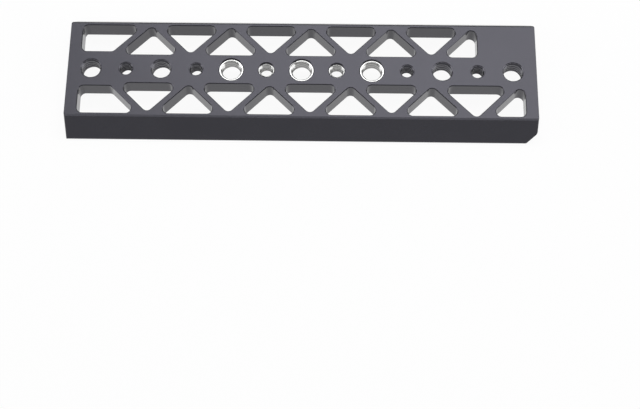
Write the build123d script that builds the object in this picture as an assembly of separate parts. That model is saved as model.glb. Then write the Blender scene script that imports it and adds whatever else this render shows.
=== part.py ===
"""Lightened camera dovetail plate with a row of screw holes, in millimetres.

The plate lies on its wide face, narrow face up. +X runs along the plate to the end
with the lead-in ramp, +Y across it, and the origin is the centre of the footprint.
"""
import os
from math import cos, radians, sin, sqrt, tan

from build123d import *

# Dovetail bar
length = 200.0
thickness = 11.0
narrow_width = 44.5
flank_angle = 60.0  # between the flank and the wide face
edge_land = 0.5  # upright strip that blunts the flank's lower edge
outer_break = 0.1  # small chamfer round the narrow face
opening_break = 0.3  # and round its openings
ramp_height = 4.8  # 45 degree lead-in at the +X end of the wide face
ramp_round = 1.0  # its upper and lower edges
end_round = 0.8  # corners of both ends, along the flanks

# Relief channel along the wide face, and the web that is left above it
channel_depth = 3.0
channel_mouth = 2.0  # chamfer on the inner edge of each rail

# Trussed lattice, one row of cells on each side of the spine
rim_width = 1.35  # narrow-face strip between a cell and the flank
spine_width = 13.7
first_bay = 35.0  # from the -X end to the centre of the first triangle on the spine
last_bay = 27.4  # from the centre of the last one to the +X end
rib_width = 2.7
tip_gap = 0.33  # from a triangle's tip, before it is rounded, to the other line of bases
corner_radius = 2.3
end_web = 5.3
end_boss_width = 16.5  # the spine beside the first hole
end_rib_width = 2.85
pad_length = 25.0  # solid area at the +X end of the back row

# Screw holes along the centre line, large and small in turn from the middle outwards
hole_pitch = 15.0
end_hole = 10.0  # least distance from a hole to the end of the plate

# Large and small thread: bore at the foot of the thread, and its mouth
large_bore = 9.0
large_mouth = 9.3
small_bore = 5.9
small_mouth = 6.35

# Threaded sleeves in the middle holes
insert_reach = 2  # holes on each side of the middle one that have a sleeve
large_insert_width = 10.0
large_insert_bore = 9.1
small_insert_width = 6.5
small_insert_bore = 6.0
insert_recess = 0.75  # face of the plate to the top of the sleeve
insert_length = 6.1
insert_bevel = 0.15  # inner edges of the sleeve
insert_mouth = 0.4  # chamfer at the mouth of a hole that takes a sleeve
seat_clearance = 0.02

# Worked out from the sizes above
wide_half = narrow_width / 2 + (thickness - edge_land) / tan(radians(flank_angle))
row_inner = spine_width / 2
row_outer = narrow_width / 2 - rim_width
row_height = row_outer - row_inner
rib_gap = rib_width * sqrt(2)  # a 45 degree rib, measured along the plate
bay_run = length - first_bay - last_bay
bay_steps = round(bay_run / 2 / (row_height - 2 * tip_gap + rib_gap))
bay_pitch = bay_run / bay_steps
half_base = (bay_pitch / 2 + row_height - rib_gap) / 2
wide_half_base = row_height + corner_radius * (sqrt(2) - 1)  # rounded tip on the rim line
hole_reach = int((length / 2 - end_hole) / hole_pitch + 0.001)
web_bottom = channel_depth
left_end = -length / 2
right_end = length / 2


def bar():
    """The dovetail section with its relief channel, run along the plate."""
    half_section = [
        (0, thickness),
        (narrow_width / 2, thickness),
        (wide_half, edge_land),
        (wide_half, 0),
        (row_outer + channel_mouth, 0),
        (row_outer, channel_mouth),
        (row_outer, web_bottom),
        (0, web_bottom),
    ]
    half = make_face(Plane.YZ * Polyline(*half_section, close=True))
    return extrude(half + mirror(half, Plane.XZ), length / 2, both=True)


def side_view():
    """The plate seen from the front, with the ramp under its +X end, run across the plate."""
    ramp_start = right_end - ramp_height
    view = outline(
        (left_end, 0),
        (ramp_start, 0),
        (right_end, ramp_height),
        (right_end, thickness),
        (left_end, thickness),
    )
    ramp_ends = view.vertices().filter_by_position(Axis.X, ramp_start, right_end)
    ramp_ends = ramp_ends.filter_by_position(Axis.Y, 0, ramp_height)
    return extrude(Plane.XZ * fillet(ramp_ends, ramp_round), wide_half + 1, both=True)


def end_rounding():
    """Block that rounds the corners of both ends where they meet the back flank."""
    slope = radians(flank_angle)
    along_flank = Plane(
        origin=(0, narrow_width / 2, thickness), x_dir=(1, 0, 0), z_dir=(0, -cos(slope), sin(slope))
    )
    block = RectangleRounded(length, 4 * wide_half, end_round)
    return extrude(along_flank * Pos(0, -2 * wide_half) * block, 2 * thickness, both=True)


def outline(*points):
    """A closed shape, from points at y measured outwards from the centre line."""
    return make_face(Polyline(*points, close=True))


def rounded(shape):
    """Round a shape's corners by drawing it in and letting it out again."""
    return offset(offset(shape, -corner_radius), corner_radius)


def spine_triangle(centre, half):
    """Triangle whose base lies along the spine."""
    return outline((centre - half, row_inner), (centre + half, row_inner), (centre, row_inner + half))


def rim_triangle(centre, half):
    """Triangle whose base lies along the rim."""
    return outline((centre - half, row_outer), (centre + half, row_outer), (centre, row_outer - half))


def first_cell(centre):
    """Rim triangle squared off by the end web, clear of the first hole."""
    wall = left_end + end_web
    boss = end_boss_width / 2
    tip = centre + half_base
    return outline(
        (wall, boss),
        (tip - (row_outer - boss), boss),
        (tip, row_outer),
        (wall, row_outer),
    )


def pad_cell(centre):
    """Spine triangle cut short by the solid pad."""
    pad = Pos(right_end, row_outer) * Rectangle(2 * pad_length, 2 * row_outer)
    return spine_triangle(centre, half_base) - pad


def last_cell(left):
    """Half of a rim triangle, against the end web."""
    wall = right_end - end_web
    return outline((left, row_outer), (wall, row_outer), (wall, row_outer - (wall - left)))


def lattice_cells():
    """Outlines of all the openings, the front row mirrored from the back."""
    centres = [left_end + first_bay + i * bay_pitch for i in range(bay_steps + 1)]
    shared = [first_cell(centres[0] - bay_pitch / 2)]
    for centre in centres[:-1]:
        shared.append(spine_triangle(centre, half_base))
        shared.append(rim_triangle(centre + bay_pitch / 2, half_base))
    back = shared + [pad_cell(centres[-1])]
    wide_centre = centres[-1] - half_base + wide_half_base
    last_left = wide_centre + wide_half_base - row_height + end_rib_width * sqrt(2)
    front = shared + [spine_triangle(wide_centre, wide_half_base), last_cell(last_left)]
    return [rounded(cell) for cell in back] + [mirror(rounded(cell), Plane.XZ) for cell in front]


def hole_places():
    """Index and x of every screw hole, counted from the middle: even ones are large."""
    return [(i, i * hole_pitch) for i in range(-hole_reach, hole_reach + 1)]


def is_large(index):
    return index % 2 == 0


def has_insert(index):
    return abs(index) <= insert_reach


def insert_radii(index):
    """Inner and outer radius of the sleeve in a hole that has one."""
    if is_large(index):
        return large_insert_bore / 2, large_insert_width / 2
    return small_insert_bore / 2, small_insert_width / 2


def hole_cutter(index):
    """Through hole with a chamfered mouth on both faces of the web."""
    if has_insert(index):
        radius = insert_radii(index)[1] + seat_clearance
        mouth = radius + insert_mouth
    elif is_large(index):
        radius = large_bore / 2
        mouth = large_mouth / 2
    else:
        radius = small_bore / 2
        mouth = small_mouth / 2
    flare = mouth - radius
    section = Polyline(
        (0, web_bottom),
        (mouth, web_bottom),
        (radius, web_bottom + flare),
        (radius, thickness - flare),
        (mouth, thickness),
        (0, thickness),
        close=True,
    )
    return revolve(make_face(Plane.XZ * section), Axis.Z)


def dovetail_plate():
    """The one-piece plate: bar, lattice and screw holes."""
    plate = bar()
    plate = chamfer(plate.edges().filter_by_position(Axis.Z, thickness, thickness), outer_break)
    plate -= [extrude(cell, thickness) for cell in lattice_cells()]
    openings = plate.faces().sort_by(Axis.Z)[-1].inner_wires()
    plate = chamfer([edge for wire in openings for edge in wire.edges()], opening_break)
    corners = end_rounding()
    plate = plate & side_view() & corners & mirror(corners, Plane.XZ)
    return plate - [Pos(x, 0, 0) * hole_cutter(i) for i, x in hole_places()]


def thread_insert(index):
    """Sleeve seated in its hole, a little below the narrow face."""
    inner, outer = insert_radii(index)
    top = thickness - insert_recess
    bottom = top - insert_length
    section = Polyline(
        (inner + insert_bevel, bottom),
        (outer, bottom),
        (outer, top),
        (inner + insert_bevel, top),
        (inner, top - insert_bevel),
        (inner, bottom + insert_bevel),
        close=True,
    )
    return revolve(make_face(Plane.XZ * section), Axis.Z)


def build():
    """Every piece of the plate, by node name."""
    parts = {"dovetail_plate": dovetail_plate()}
    for index, x in hole_places():
        if has_insert(index):
            size = "large" if is_large(index) else "small"
            side = "left" if index < 0 else "right" if index > 0 else "centre"
            parts[f"{size}_thread_insert_{side}"] = Pos(x, 0, 0) * thread_insert(index)
    return parts


def main():
    os.makedirs("parts", exist_ok=True)
    for name, solid in build().items():
        export_step(solid, f"parts/{name}.step")
        print(name, round(solid.volume, 1))


if __name__ == "__main__":
    main()
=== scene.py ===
"""Looks for the dovetail plate: anodised aluminium, cut threads and bright thread inserts.

Sizes of the plate, its threads and the camera's place are written in millimetres. The lights, the
floor and the scales of the materials are in metres, as Blender's scene is.
"""
from math import cos, pi, radians, sin

import bmesh
import bpy
from mathutils import Matrix, Vector


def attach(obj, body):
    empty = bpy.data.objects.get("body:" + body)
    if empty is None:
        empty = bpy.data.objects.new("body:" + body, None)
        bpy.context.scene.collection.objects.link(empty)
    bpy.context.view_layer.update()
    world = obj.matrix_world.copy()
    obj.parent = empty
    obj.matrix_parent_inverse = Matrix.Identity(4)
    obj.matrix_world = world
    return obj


MM = 0.001  # one millimetre in metres
INCH = 25.4
WHITE = (1, 1, 1, 1)

# Sizes that part.py uses for the same features
TOP = 11.0  # narrow face
WEB = 3.0  # underside of the web
HOLE_PITCH = 15.0
HOLE_REACH = 6  # holes on each side of the middle one
INSERT_REACH = 2  # and those of them that have an insert
INSERT_RECESS = 0.75
INSERT_LENGTH = 6.1
SLEEVE_TOP = TOP - INSERT_RECESS
SLEEVE_LOW = SLEEVE_TOP - INSERT_LENGTH

# Threads: the radii of root and crest, half the crest's flat as a share of the pitch, and the
# heights of both ends of the thread with the radius of the countersink's cone there
LARGE_CUT = {
    "pitch": INCH / 16, "root": 4.42, "crest": 4.02, "flat": 0.21,
    "low": WEB, "high": TOP, "mouth": 4.65}
SMALL_CUT = {
    "pitch": INCH / 20, "root": 2.88, "crest": 2.55, "flat": 0.15,
    "low": WEB, "high": TOP, "mouth": 3.175}
LARGE_SLEEVE = {
    "pitch": INCH / 16, "root": 4.48, "crest": 4.02, "flat": 0.16,
    "low": SLEEVE_LOW, "high": SLEEVE_TOP, "mouth": 4.70}
SMALL_SLEEVE = {
    "pitch": INCH / 20, "root": 2.93, "crest": 2.55, "flat": 0.15,
    "low": SLEEVE_LOW, "high": SLEEVE_TOP, "mouth": 3.15}
CREST_PLACE = 0.5  # middle of the crest, as a share of the pitch
ROOT_HALF = 0.42  # and from there to the start of the root
THREAD_WALL = 0.2  # from the root to the plain back of a thread's piece
THREAD_COLUMNS = 72  # round a hole
SPARE_TURNS = 3  # so that the wound grid covers both ends of a thread
SAME_POINT = 0.0001  # points nearer to each other than this are one
THREAD_CREASE = radians(18)  # faces that meet at more than this keep a sharp edge
NO_CREASE = radians(180)

# Free end of the middle insert's wire, which rises and widens along its run
WIRE_FIRST, WIRE_LAST = radians(118), radians(169)
WIRE_RADIUS = 0.22
WIRE_TAPER_START = 0.8  # share of the run after which the wire thins
WIRE_TIP = 0.25  # share of the wire's radius that is left at its tip
WIRE_RUN, WIRE_WIDENING = 4.76, 0.40  # radius of the run, and what it gains
WIRE_DEPTH, WIRE_RISE = 0.20, 0.72  # start below the sleeve's top, and what it gains in height
WIRE_STEPS, WIRE_SIDES = 18, 12

# Materials
RELIEF = 0.00002  # height of the fine marks
NOISE_RANGE = (0.3, 0.7)  # where most values of a noise lie
LYING = (0.75, 0.95)  # upward share of the normal, from a sloping face to a lying one
STANDING = (0.35, 0.10)  # and from a sloping face to a standing one
GRAIN_SHARE = 0.25  # of the blasted grain in the colour, beside the wide mottle
GRAIN_GLOSS = 0.08  # roughness that the grain adds
GREY_AND_SHEEN_SHARE = 0.5  # of the wall colour on standing faces: milled grey and painted sheen
REFLECTION_TINT = (0.88, 0.87, 1.0, 1)

# Stage
FLOOR_SIZE = 6.0
FLOOR_DROP = 0.0005  # below the plate, so that the two faces don't coincide
FLOOR_COLOUR = (0.86, 0.86, 0.87, 1)
FLOOR_DEEPER = 0.99  # its darker patches, as a share of its colour
FLOOR_SHADE = 0.06  # share of the real shading that the camera and reflections see
PLATE_MIDDLE = (0, 0, 0)

# Softboxes: middle, width and depth, and radiance. All of them face the plate.
SOFTBOXES = {
    "key_softbox": ((0.10, 0.42, 0.85), 0.80, 0.39, 6.3),
    "front_softbox": ((0.0, -0.556, 0.795), 1.4, 0.14, 3.2),
    "left_softbox": ((-0.8, 0.1, 0.7), 1.0, 0.6, 0.5),
    "right_softbox": ((0.8, 0.1, 0.7), 1.0, 0.6, 0.5),
    "left_strip": ((-0.85, 0.0, 0.30), 0.7, 0.50, 2.1),
    "right_strip": ((0.85, 0.0, 0.30), 0.7, 0.50, 2.1),
}

# Camera, fitted to the photograph: focal length and optical centre in pixels of its frame, then
# the distance to a point on the table, that point, and the angles in radians
FRAME_WIDTH, FRAME_HEIGHT = 640, 409
FOCAL, CENTRE_X, CENTRE_Y = 1521.43, 299.56, 118.30
DISTANCE, AIM_X, AIM_Y = 650.88, -0.675, -17.614
LOOK_DOWN, TURN, ROLL = 1.13434, -0.04374, -0.02928
SENSOR_WIDTH = 36.0
NEAREST, FARTHEST = 0.01, 20.0  # what the camera sees, in metres


# Shaders

class Nodes:
    """Short hand for building the node tree of a material or a world."""

    def __init__(self, owner, output):
        self.owner = owner
        owner.use_nodes = True
        self.tree = owner.node_tree
        self.tree.nodes.clear()
        self.output = self.add(output)

    def add(self, kind, inputs=None, **settings):
        node = self.tree.nodes.new(kind)
        for key, value in settings.items():
            setattr(node, key, value)
        for key, value in (inputs or {}).items():
            self.put(node.inputs[key], value)
        return node

    def put(self, socket, value):
        """Link a socket or a node's first output to a socket, or set the socket to a value."""
        if isinstance(value, bpy.types.NodeSocket):
            self.tree.links.new(value, socket)
        elif isinstance(value, bpy.types.Node):
            self.tree.links.new(value.outputs[0], socket)
        else:
            socket.default_value = value

    def math(self, operation, a, b=0.0):
        return self.add("ShaderNodeMath", {0: a, 1: b}, operation=operation)

    def ramp(self, value, low, high, to_low=0.0, to_high=1.0):
        return self.add("ShaderNodeMapRange", {
            "Value": value, "From Min": low, "From Max": high,
            "To Min": to_low, "To Max": to_high})

    # The mix node has sockets of the same name for each type, so these two go by their places

    def mix_value(self, factor, a, b):
        inputs = {"Factor": factor, 2: a, 3: b}
        return self.add("ShaderNodeMix", inputs, data_type="FLOAT").outputs[0]

    def mix_colour(self, factor, a, b):
        inputs = {"Factor": factor, 6: a, 7: b}
        return self.add("ShaderNodeMix", inputs, data_type="RGBA").outputs[2]

    def mix_shader(self, factor, a, b):
        return self.add("ShaderNodeMixShader", {0: factor, 1: a, 2: b})

    def object_coordinates(self):
        return self.add("ShaderNodeTexCoord").outputs["Object"]

    def stretched(self, coords, along, upward):
        """Coordinates scaled by one number along the plate and across it, and by one upwards."""
        scale = (along, along, upward)
        return self.add("ShaderNodeMapping", {"Vector": coords, "Scale": scale})

    def noise(self, coords, scale=1.0, detail=2.0, roughness=0.5):
        return self.add("ShaderNodeTexNoise", {
            "Vector": coords, "Scale": scale, "Detail": detail, "Roughness": roughness})

    def bump(self, height, strength):
        return self.add("ShaderNodeBump", {
            "Height": height, "Distance": RELIEF, "Strength": strength})

    def finish(self, surface):
        self.put(self.output.inputs["Surface"], surface)
        return self.owner


def material_nodes(name):
    return Nodes(bpy.data.materials.new(name), "ShaderNodeOutputMaterial")


def anodised(name, dark, light, wall, wall_gloss, top_gloss, ior):
    """Black anodising: blasted on the narrow face, with fine milling lines on the walls."""
    s = material_nodes(name)
    coords = s.object_coordinates()
    normal = s.add("ShaderNodeNewGeometry").outputs["Normal"]
    facing = s.add("ShaderNodeSeparateXYZ", {0: normal})
    upward = s.math("ABSOLUTE", facing.outputs["Z"])
    lying = s.ramp(upward, *LYING)
    standing = s.ramp(upward, *STANDING)

    grain = s.noise(coords, scale=5200.0, detail=3.0, roughness=0.6)
    mottle = s.noise(coords, scale=60.0, detail=4.0, roughness=0.55)
    milling = s.noise(s.stretched(coords, along=60.0, upward=3200.0))

    fine = s.math("MULTIPLY", grain, GRAIN_SHARE)
    wide = s.math("MULTIPLY", mottle, 1.0 - GRAIN_SHARE)
    tone = s.ramp(s.math("ADD", fine, wide), *NOISE_RANGE)
    skin = s.mix_colour(tone, dark, light)
    # Standing faces are lighter: partly the greyer milled finish, partly painted sheen in place
    # of reflections
    colour = s.mix_colour(s.math("MULTIPLY", standing, GREY_AND_SHEEN_SHARE), skin, wall)
    relief = s.mix_value(lying, milling, grain)
    gloss = s.ramp(lying, 0.0, 1.0, wall_gloss, top_gloss)
    return s.finish(s.add("ShaderNodeBsdfPrincipled", {
        "Base Color": colour,
        "Roughness": s.math("ADD", gloss, s.math("MULTIPLY", grain, GRAIN_GLOSS)),
        "IOR": ior,
        "Specular Tint": REFLECTION_TINT,
        "Normal": s.bump(relief, strength=0.4)}))


def insert_steel():
    """Bright turned stainless steel with faint rings."""
    s = material_nodes("insert_steel")
    coords = s.stretched(s.object_coordinates(), along=300.0, upward=4000.0)
    rings = s.noise(coords, detail=3.0, roughness=0.6)
    return s.finish(s.add("ShaderNodeBsdfPrincipled", {
        "Base Color": s.mix_colour(rings, (0.32, 0.32, 0.315, 1), (0.48, 0.48, 0.475, 1)),
        "Metallic": 1.0,
        "Roughness": s.ramp(rings, *NOISE_RANGE, to_low=0.14, to_high=0.26),
        "Normal": s.bump(rings, strength=0.3)}))


def pale(name, colour, shade):
    """Background that the camera and reflections see as nearly white, with a faint shadow."""
    s = material_nodes(name)
    path = s.add("ShaderNodeLightPath").outputs
    reflected = s.math("MAXIMUM", path["Is Glossy Ray"], path["Is Transmission Ray"])
    seen = s.math("MAXIMUM", path["Is Camera Ray"], reflected)
    deeper = tuple(value * FLOOR_DEEPER for value in colour[:3]) + (1,)
    tint = s.mix_colour(s.noise(s.object_coordinates(), scale=3.0), colour, deeper)
    diffuse = s.add("ShaderNodeBsdfDiffuse", {"Color": tint})
    glow = s.add("ShaderNodeEmission", {"Color": WHITE, "Strength": 1.0})
    return s.finish(s.mix_shader(s.math("MULTIPLY", seen, 1.0 - shade), diffuse, glow))


def studio_world(light, reflected, seen):
    """White surroundings: their strength as light, in reflections and for the camera."""
    s = Nodes(bpy.data.worlds.new("studio"), "ShaderNodeOutputWorld")
    path = s.add("ShaderNodeLightPath").outputs
    lit, mirrored, background = [
        s.add("ShaderNodeBackground", {"Color": WHITE, "Strength": strength})
        for strength in (light, reflected, seen)]
    surface = s.mix_shader(path["Is Glossy Ray"], lit, mirrored)
    surface = s.mix_shader(path["Is Camera Ray"], surface, background)
    surface = s.mix_shader(path["Is Transmission Ray"], surface, background)
    return s.finish(surface)


# Meshes

def polar(x, radius, angle, z):
    """Point beside the axis of the hole at x, in metres."""
    return (x + radius * cos(angle)) * MM, radius * sin(angle) * MM, z * MM


def mesh_object(name, bm, material, crease):
    """Smooth-shaded object whose edges stay sharp where its faces meet at more than crease."""
    bmesh.ops.recalc_face_normals(bm, faces=bm.faces)
    data = bpy.data.meshes.new(name)
    bm.to_mesh(data)
    bm.free()
    data.materials.append(material)
    data.shade_smooth()
    data.set_sharp_from_angle(angle=crease)
    obj = bpy.data.objects.new(name, data)
    bpy.context.scene.collection.objects.link(obj)
    return obj


def wall_radius(size, z, phase):
    """Radius of a thread at height z, where phase runs from 0 to 1 over one pitch."""
    down_flank = (abs(phase - CREST_PLACE) - size["flat"]) / (ROOT_HALF - size["flat"])
    share = min(1.0, max(0.0, down_flank))
    wall = size["crest"] + share * (size["root"] - size["crest"])
    upper_cone = size["mouth"] - (size["high"] - z)
    lower_cone = size["mouth"] - (z - size["low"])
    return min(size["root"], max(wall, upper_cone, lower_cone))


def boundary(bm):
    """Edges that have a face on one side only."""
    return [edge for edge in bm.edges if edge.is_boundary]


def add_back(bm, x, radius):
    """Close the wall of the hole at x with a plain wall of that radius behind it."""
    added = bmesh.ops.extrude_edge_only(bm, edges=boundary(bm))["geom"]
    for vertex in added:
        if isinstance(vertex, bmesh.types.BMVert):
            dx, dy = vertex.co.x - x * MM, vertex.co.y
            grow = radius * MM / (dx * dx + dy * dy) ** 0.5
            vertex.co.x, vertex.co.y = x * MM + dx * grow, dy * grow
    bmesh.ops.bridge_loops(bm, edges=boundary(bm))


def thread(name, size, x, material):
    """The threaded wall of one hole, with its grid wound along the helix."""
    offsets = (ROOT_HALF, (ROOT_HALF + size["flat"]) / 2, size["flat"])
    rising = [CREST_PLACE - offset for offset in offsets]
    falling = [CREST_PLACE + offset for offset in reversed(offsets)]
    marks = [0.0] + rising + [CREST_PLACE] + falling
    pitch = size["pitch"]
    cone = size["mouth"] - size["root"]
    low, high = size["low"] + cone, size["high"] - cone
    turns = int((high - low) / pitch) + SPARE_TURNS
    levels = [turn + mark for turn in range(turns) for mark in marks]
    bm = bmesh.new()

    def point(i, level):
        start = low - pitch + pitch * i / THREAD_COLUMNS
        z = min(high, max(low, start + pitch * level))
        radius = wall_radius(size, z, ((z - start) / pitch) % 1.0)
        return bm.verts.new(polar(x, radius, 2 * pi * i / THREAD_COLUMNS, z))

    grid = [[point(i, level) for level in levels] for i in range(THREAD_COLUMNS)]
    for i, column in enumerate(grid):
        wraps = i == THREAD_COLUMNS - 1
        neighbour = grid[0][len(marks):] if wraps else grid[i + 1]
        for j in range(len(neighbour) - 1):
            bm.faces.new((column[j], neighbour[j], neighbour[j + 1], column[j + 1]))
    bmesh.ops.remove_doubles(bm, verts=bm.verts, dist=SAME_POINT * MM)
    bmesh.ops.dissolve_degenerate(bm, edges=bm.edges, dist=SAME_POINT * MM)
    add_back(bm, x, size["root"] + THREAD_WALL)
    return mesh_object(name, bm, material, THREAD_CREASE)


def wire_end(name, sleeve_top, material):
    """Free end of the wire, lifting out of the middle insert into the mouth of its hole."""
    bm = bmesh.new()
    rings = []
    for i in range(WIRE_STEPS + 1):
        share = i / WIRE_STEPS
        angle = WIRE_FIRST + (WIRE_LAST - WIRE_FIRST) * share
        thinned = max(0.0, share - WIRE_TAPER_START) / (1.0 - WIRE_TAPER_START)
        wire = WIRE_RADIUS * (1.0 - (1.0 - WIRE_TIP) * thinned)
        run = WIRE_RUN + WIRE_WIDENING * share
        height = sleeve_top - WIRE_DEPTH + WIRE_RISE * share
        ring = []
        for j in range(WIRE_SIDES):
            turn = 2 * pi * j / WIRE_SIDES
            place = polar(0.0, run + wire * cos(turn), angle, height + wire * sin(turn))
            ring.append(bm.verts.new(place))
        rings.append(ring)
    for near, far in zip(rings, rings[1:]):
        for j in range(WIRE_SIDES):
            after = (j + 1) % WIRE_SIDES
            bm.faces.new((near[j], near[after], far[after], far[j]))
    bm.faces.new(rings[0])
    bm.faces.new(rings[-1])
    return mesh_object(name, bm, material, NO_CREASE)


# Lights and camera

def softbox(name, place, width, depth, radiance):
    """Rectangular area light that faces the plate."""
    light = bpy.data.lights.new(name, "AREA")
    light.shape = "RECTANGLE"
    light.size = width
    light.size_y = depth
    light.energy = radiance * pi * width * depth
    obj = bpy.data.objects.new(name, light)
    bpy.context.scene.collection.objects.link(obj)
    obj.location = place
    aim = Vector(PLATE_MIDDLE) - Vector(place)
    obj.rotation_euler = aim.to_track_quat("-Z", "Y").to_euler()


def fitted_camera():
    """Camera at the photograph's place and angle."""
    forward = Vector((sin(TURN) * cos(LOOK_DOWN), cos(TURN) * cos(LOOK_DOWN), -sin(LOOK_DOWN)))
    level_right = Vector((cos(TURN), -sin(TURN), 0))
    level_up = level_right.cross(forward)
    right = level_right * cos(ROLL) + level_up * sin(ROLL)
    up = level_up * cos(ROLL) - level_right * sin(ROLL)
    place = Vector((AIM_X, AIM_Y, 0)) * MM - forward * DISTANCE * MM
    data = bpy.data.cameras.new("camera")
    camera = bpy.data.objects.new("camera", data)
    bpy.context.scene.collection.objects.link(camera)
    camera.matrix_world = Matrix((
        (right.x, up.x, -forward.x, place.x),
        (right.y, up.y, -forward.y, place.y),
        (right.z, up.z, -forward.z, place.z),
        (0, 0, 0, 1)))
    data.sensor_fit = "HORIZONTAL"
    data.sensor_width = SENSOR_WIDTH
    data.lens = SENSOR_WIDTH * FOCAL / FRAME_WIDTH
    data.shift_x = (FRAME_WIDTH / 2 - CENTRE_X) / FRAME_WIDTH
    data.shift_y = (CENTRE_Y - FRAME_HEIGHT / 2) / FRAME_WIDTH
    data.clip_start = NEAREST
    data.clip_end = FARTHEST
    return camera


# The scene

def set_material(obj, material):
    obj.data.materials.clear()
    obj.data.materials.append(material)


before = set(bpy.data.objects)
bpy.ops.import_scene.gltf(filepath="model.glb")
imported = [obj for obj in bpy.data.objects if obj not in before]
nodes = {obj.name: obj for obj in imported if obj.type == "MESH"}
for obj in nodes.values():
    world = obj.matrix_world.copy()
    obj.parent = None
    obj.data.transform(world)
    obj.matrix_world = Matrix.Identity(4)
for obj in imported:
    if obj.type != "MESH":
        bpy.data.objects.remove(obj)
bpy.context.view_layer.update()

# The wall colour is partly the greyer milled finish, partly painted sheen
aluminium = anodised(
    "anodised_aluminium", dark=(0.009, 0.009, 0.012, 1), light=(0.015, 0.015, 0.019, 1),
    wall=(0.060, 0.058, 0.066, 1), wall_gloss=0.08, top_gloss=0.355, ior=1.5)
# Far lighter wall colour: a painted highlight on the standing crests and roots of the thread
tapped = anodised(
    "anodised_thread", dark=(0.009, 0.009, 0.011, 1), light=(0.015, 0.015, 0.017, 1),
    wall=(0.170, 0.168, 0.172, 1), wall_gloss=0.20, top_gloss=0.22, ior=1.75)
steel = insert_steel()
set_material(nodes["dovetail_plate"], aluminium)

for index in range(-HOLE_REACH, HOLE_REACH + 1):
    x = index * HOLE_PITCH
    large = index % 2 == 0
    label = "large" if large else "small"
    if abs(index) > INSERT_REACH:
        name = "%s_cut_thread_%02d" % (label, index + HOLE_REACH + 1)
        piece = thread(name, LARGE_CUT if large else SMALL_CUT, x, tapped)
    else:
        side = "left" if index < 0 else "right" if index > 0 else "centre"
        set_material(nodes["%s_thread_insert_%s" % (label, side)], steel)
        name = "%s_sleeve_thread_%s" % (label, side)
        piece = thread(name, LARGE_SLEEVE if large else SMALL_SLEEVE, x, steel)
    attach(piece, "root")

tail = wire_end("large_sleeve_end_centre", SLEEVE_TOP, steel)
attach(tail, "root")

bpy.ops.mesh.primitive_plane_add(size=FLOOR_SIZE, location=(0, 0, -FLOOR_DROP))
floor = bpy.context.object
floor.name = "stage_floor"
floor.data.materials.append(pale("stage_pale", FLOOR_COLOUR, FLOOR_SHADE))

bpy.context.scene.world = studio_world(light=0.08, reflected=0.55, seen=1.0)
for name, (place, width, depth, radiance) in SOFTBOXES.items():
    softbox(name, place, width, depth, radiance)
bpy.context.scene.camera = fitted_camera()
bpy.context.scene.view_settings.view_transform = "Standard"
